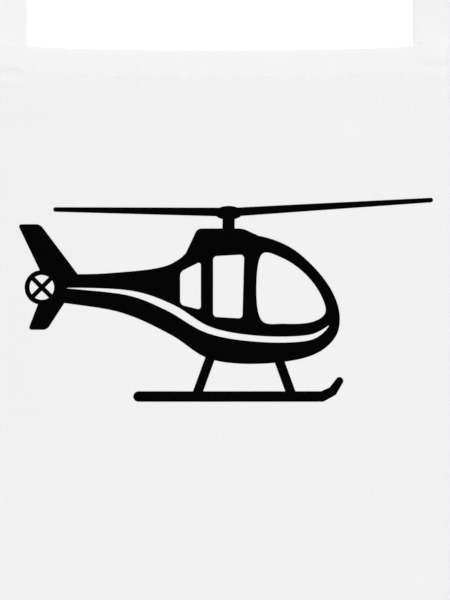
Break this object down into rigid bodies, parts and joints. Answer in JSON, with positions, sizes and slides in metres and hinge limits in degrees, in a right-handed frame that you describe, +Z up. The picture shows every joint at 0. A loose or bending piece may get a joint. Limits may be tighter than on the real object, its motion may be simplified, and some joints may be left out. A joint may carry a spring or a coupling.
{
  "type": "bib apron",
  "caption": "White cotton bib apron with a black helicopter sign printed on its bib, an adjustable neck strap and waist ties, hung by the neck strap.",
  "frame": {"origin": "middle of the underside of the neck strap's level top run, which lies on what it hangs from", "axes": "+Z up, print side facing -Y, +X to the right of a viewer who faces the print"},
  "size_m": [0.7184, 0.0796, 1.2297],
  "materials": {
    "cotton": "matt white cotton twill",
    "webbing": "matt white folded cotton strap",
    "ink": "black transfer film, slightly satin",
    "label": "blank white satin tape",
    "metal": "nickel-plated wire"
  },
  "bodies": {
    "neck": {"neck_strap": "webbing", "strap_tab": "webbing", "ring": "metal", "strap_return": "webbing"},
    "apron": {"apron_panel": "cotton", "top_hem": "cotton", "bottom_hem": "cotton", "armhole_hem_left": "cotton", "armhole_hem_right": "cotton", "side_hem_left": "cotton", "side_hem_right": "cotton", "helicopter_print": "ink", "size_label": "label", "sewn_strap_end_left": "webbing", "sewn_strap_end_right": "webbing", "tie_end_left": "webbing", "tie_end_right": "webbing"},
    "adjuster": {"slider": "metal", "strap_end_loop": "webbing"},
    "left_tie": {"waist_tie_left": "webbing"},
    "right_tie": {"waist_tie_right": "webbing"}
  },
  "joints": [
    {"name": "apron_swing", "type": "hinge", "parent": "neck", "child": "apron", "pos_m": [0, 0, -0.232], "axis": [1, 0, 0], "range_deg": [-110, 110]},
    {"name": "slider_slide", "type": "slide", "parent": "neck", "child": "adjuster", "axis": [0, 0, 1], "range_m": [-0.035, 0.02], "deforming": ["strap_return"]},
    {"name": "left_tie_swing", "type": "hinge", "parent": "apron", "child": "left_tie", "pos_m": [-0.34549, 0.00078, -0.62089], "axis": [1, 0, 0], "range_deg": [-90, 90]},
    {"name": "right_tie_swing", "type": "hinge", "parent": "apron", "child": "right_tie", "pos_m": [0.34648, 0.00192, -0.62089], "axis": [1, 0, 0], "range_deg": [-90, 90]}
  ]
}
